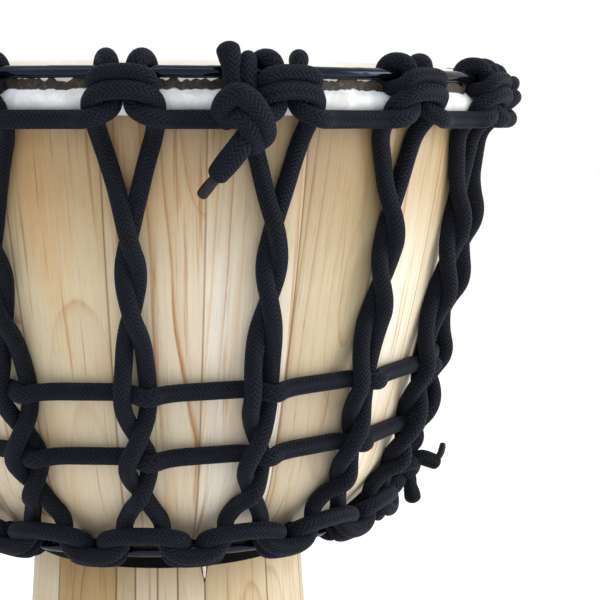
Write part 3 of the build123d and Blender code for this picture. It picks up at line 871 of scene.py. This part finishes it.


# goat skin soaked, lapped over the hidden ring and dried: chalky white roll, cream head with faint
# grey-brown clouding, and a trimmed brown edge that still has its hair side, darkened with painted shade of
# the gap under the ring
def driedGoatSkin(name):
    material, tree, shader = newMaterial(name, {
        "Roughness": 0.62, "IOR": 1.45, "Subsurface Weight": 0.08,
        "Subsurface Radius": (0.002, 0.0014, 0.001),
        "Sheen Weight": 0.08})
    spot = addNode(tree, "TexCoord").outputs["Object"]
    zone = addNode(tree, "Attribute", {"attribute_name": "skinZone"}).outputs["Fac"]
    cloud = addNode(tree, "TexNoise", {"Scale": perMetre(38), "Detail": 5.0, "Roughness": 0.6}, {
        "Vector": spot})
    head = addNode(tree, "ValToRGB", {"ramp": [(0.3, "#cbbda5"), (0.5, "#ddd5c4"), (0.72, "#e8e4da")]}, {
        "Fac": cloud})
    chalk = addNode(tree, "TexNoise", {"Scale": perMetre(4.2), "Detail": 5.0, "Roughness": 0.65}, {
        "Vector": spot})
    roll = addNode(tree, "ValToRGB", {"ramp": [(0.28, "#c2c1bb"), (0.6, "#dde0e1")]}, {"Fac": chalk})
    hair = addNode(tree, "TexNoise", {"Scale": perMetre(1.1), "Detail": 4.0}, {"Vector": spot})
    # painted shade: the near-black of this band under the ring stands for the shade in the gap there, over
    # the brown of the hair side
    edge = addNode(tree, "ValToRGB", {"ramp": [(0.3, "#0e0b09"), (0.55, "#2a1e15"), (0.85, "#6d5236")]}, {
        "Fac": hair})
    rollShare = addNode(tree, "MapRange", {"From Min": 0.2, "From Max": 1.0}, {"Value": zone})
    edgeNoise = addNode(tree, "Math", {"operation": "MULTIPLY_ADD", 1: 0.5, 2: -0.25}, {0: chalk})
    edgeZone = addNode(tree, "Math", {"operation": "ADD"}, {0: zone, 1: edgeNoise})
    edgeShare = addNode(tree, "MapRange", {"From Min": 1.3, "From Max": 1.5}, {"Value": edgeZone})
    body = addNode(tree, "MixRGB", {}, {"Fac": rollShare, "Color1": head, "Color2": roll})
    final = addNode(tree, "MixRGB", {}, {"Fac": edgeShare, "Color1": body, "Color2": edge})
    connect(tree, shader, {"Base Color": final})
    pucker = addNode(tree, "Bump", {"Strength": 0.35, "Distance": 0.0004}, {"Height": chalk})
    pile = addNode(tree, "Bump", {"Strength": 0.2, "Distance": 0.0003}, {
        "Height": hair, "Normal": pucker})
    connect(tree, shader, {"Normal": pile})
    return material


# the skin's middle line from the centre outwards: radius, height from the crown ring, zone
skinSet = {"thick": 0.8, "ragged": 1.5, "pucker": 0.35, "rollFrom": 97, "columns": 960}
skinLine = [
    (0.3, 3.0, 0), (30, 3.0, 0), (60, 3.0, 0), (84, 3.0, 0), (88.6, 2.95, 0.1), (90.6, 2.4, 0.3),
    (92.8, 0.9, 0.5), (94.6, -1.6, 0.6), (95.8, -4.4, 0.8), (96.2, -7.4, 1), (96.1, -9.4, 1),
    (97.2, -10.3, 1), (98.8, -10.2, 1), (100.1, -9.1, 1), (100.7, -7.4, 1), (100.3, -5.9, 1),
    (99.4, -5.0, 1.1), (98.9, -4.3, 1.6), (98.9, -3.4, 2), (99.0, -2.6, 2), (99.1, -2.0, 2),
]
line = routeLine([(r, h, zone) for r, h, zone in skinLine], False)
turns = np.linspace(0, 2 * pi, skinSet["columns"], endpoint=False)
verts, zones = [], []
for radius, height, zone in line:
    outer = max(0.0, min(1.0, zone))
    for t in turns:
        way = Vector((sin(t), -cos(t), 0))
        plump = noise.noise(way * 14 + Vector((0, 0, 2))) + 0.5 * noise.noise(way * 34)
        tear = noise.noise(way * 22 + Vector((0, 0, 7)))
        tear += 0.7 * noise.noise(way * 60) + 0.35 * noise.noise(way * 190)
        lift = max(0.0, zone - 1) * skinSet["ragged"] * tear
        push = outer * (1 if radius > skinSet["rollFrom"] else 0) * skinSet["pucker"] * plump
        reach = (radius + push) * mm
        verts.append((reach * way.x, reach * way.y, (crownHeight + height + lift) * mm))
        zones.append(zone)
skinPiece = meshPiece("goatSkin", verts, gridFaces(len(line), skinSet["columns"], False, True),
                      driedGoatSkin("driedGoatSkin"))
pointValue(skinPiece, "skinZone", zones)
solid = skinPiece.modifiers.new("thickness", "SOLIDIFY")
solid.thickness = skinSet["thick"] * mm
solid.offset = 0
settle(skinPiece, "skin", "drum_skin")


# steel rings wound with thin glossy PVC tape: black, mirror-like along the top, a small step at each lap
def glossyTape(name):
    material, tree, shader = newMaterial(name, {
        "Roughness": 0.12, "IOR": 1.52, "Specular IOR Level": 0.36, "Specular Tint": srgb("#b9c8f2")})
    spot = addNode(tree, "TexCoord").outputs["Object"]
    film = addNode(tree, "TexNoise", {"Scale": perMetre(2.4), "Detail": 3.0}, {"Vector": spot})
    shade = addNode(tree, "ValToRGB", {"ramp": [(0.3, "#050608"), (0.7, "#0c0e13")]}, {"Fac": film})
    connect(tree, shader, {"Base Color": shade})
    wrinkle = addNode(tree, "Bump", {"Strength": 0.12, "Distance": 0.0003}, {"Height": film})
    connect(tree, shader, {"Normal": wrinkle})
    return material


tapeMaterial = glossyTape("glossyTape")
tapeSet = {"tube": 1.48, "step": 0.12, "lap": 13.0, "segment": 0.6, "sides": 20}


def tapedRing(name, radius, height, node):
    segments, sides = int(2 * pi * radius / tapeSet["segment"]), tapeSet["sides"]
    laps = round(2 * pi * radius / tapeSet["lap"])
    turn = np.arange(segments)[:, None] / segments * 2 * pi
    around = np.arange(sides)[None, :] / sides * 2 * pi
    lap = (turn * laps + around) / (2 * pi) % 1
    # the free edge of each lap stands up sharply, then the tape settles back
    size = tapeSet["tube"] + tapeSet["step"] * np.clip(lap * 12, 0, 1) * (1 - 0.6 * lap)
    reach = radius + size * np.cos(around)
    verts = np.stack([
        reach * np.sin(turn), -reach * np.cos(turn), height + size * np.sin(around)], axis=2) * mm
    piece = meshPiece(name, verts.reshape(-1, 3), gridFaces(segments, sides, True, True), tapeMaterial)
    settle(piece, "ring_tape", node)


tapedRing("crownRingTape", drum["crownRadius"], crownHeight, "crown_ring_wrap")
tapedRing("bottomRingTape", drum["bottomRadius"], bottomHeight, "bottom_ring_wrap")


# drawn mild steel wire, oiled: grey with faint mottling, hidden under the tape and the skin
def drawnSteel(name):
    material, tree, shader = newMaterial(name, {"Metallic": 1.0, "Roughness": 0.35})
    spot = addNode(tree, "TexCoord").outputs["Object"]
    marks = addNode(tree, "TexNoise", {"Scale": perMetre(1.4), "Detail": 3.0}, {"Vector": spot})
    shade = addNode(tree, "ValToRGB", {"ramp": [(0.3, "#7c7d80"), (0.7, "#a4a6aa")]}, {"Fac": marks})
    connect(tree, shader, {"Base Color": shade})
    return material


steel = drawnSteel("drawnSteel")
for node in ("crown_ring", "bottom_ring", "flesh_ring"):
    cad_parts[node].data.materials.clear()
    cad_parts[node].data.materials.append(steel)
print("rings taped")


# rubber-like black coating brushed round the joint: near black, soft sheen, faint brush lines
def blackCollar(name):
    material, tree, shader = newMaterial(name, {"Roughness": 0.5, "IOR": 1.5, "Specular IOR Level": 0.02})
    spot = addNode(tree, "TexCoord").outputs["Object"]
    lines = addNode(tree, "TexNoise", {"Scale": 1.0, "Detail": 4.0}, {
        "Vector": addNode(tree, "VectorMath", {"operation": "MULTIPLY", 1: perMetre(16, 16, 1.1)}, {
            0: spot})})
    shade = addNode(tree, "ValToRGB", {"ramp": [(0.3, "#030405"), (0.7, "#08090c")]}, {"Fac": lines})
    connect(tree, shader, {"Base Color": shade})
    relief = addNode(tree, "Bump", {"Strength": 0.2, "Distance": 0.0002}, {"Height": lines})
    connect(tree, shader, {"Normal": relief})
    return material


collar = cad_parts["waist_band"]
collar.data.materials.clear()
collar.data.materials.append(blackCollar("brushedBlackCollar"))
print("collar coated")


studio = {"floorHalf": 60.0, "floorBelow": 0.0005, "sky": 1.0, "key": 1.5, "fill": 20.0, "top": 3.4}
corners = ((-1, -1), (1, -1), (1, 1), (-1, 1))
floorVerts = [(x * studio["floorHalf"], y * studio["floorHalf"], -studio["floorBelow"]) for x, y in corners]
floorMaterial, _, _ = newMaterial("mattWhiteFloor", {
    "Base Color": srgb("#ffffff"), "Roughness": 0.9, "Specular IOR Level": 0.1})
floor = meshPiece("studioFloor", floorVerts, [(0, 1, 2, 3)], floorMaterial)

world = bpy.data.worlds.new("softRoom")
bpy.context.scene.world = world
world.use_nodes = True
world.node_tree.nodes["Background"].inputs["Color"].default_value = (1, 1, 1, 1)
world.node_tree.nodes["Background"].inputs["Strength"].default_value = studio["sky"]


def softbox(name, spot, size, power, tint="#ffffff", aim=(0, 0, 0.26)):
    light = bpy.data.lights.new(name, "AREA")
    light.shape = "RECTANGLE"
    light.size, light.size_y = size
    light.energy = power
    light.color = srgb(tint)[:3]
    holder = bpy.data.objects.new(name, light)
    holder.location = spot
    holder.rotation_euler = (Vector(spot) - Vector(aim)).to_track_quat("Z", "Y").to_euler()
    bpy.context.collection.objects.link(holder)


softbox("keyBox", (-1.1, -1.3, 1.2), (0.9, 0.9), studio["key"])
softbox("fillBox", (1.6, -0.35, 0.6), (0.8, 1.1), studio["fill"])
softbox("topBox", (-0.15, -0.62, 1.15), (1.1, 0.07), studio["top"], "#dfe9ff")
bpy.context.scene.view_settings.view_transform = "Standard"
print("studio lit")
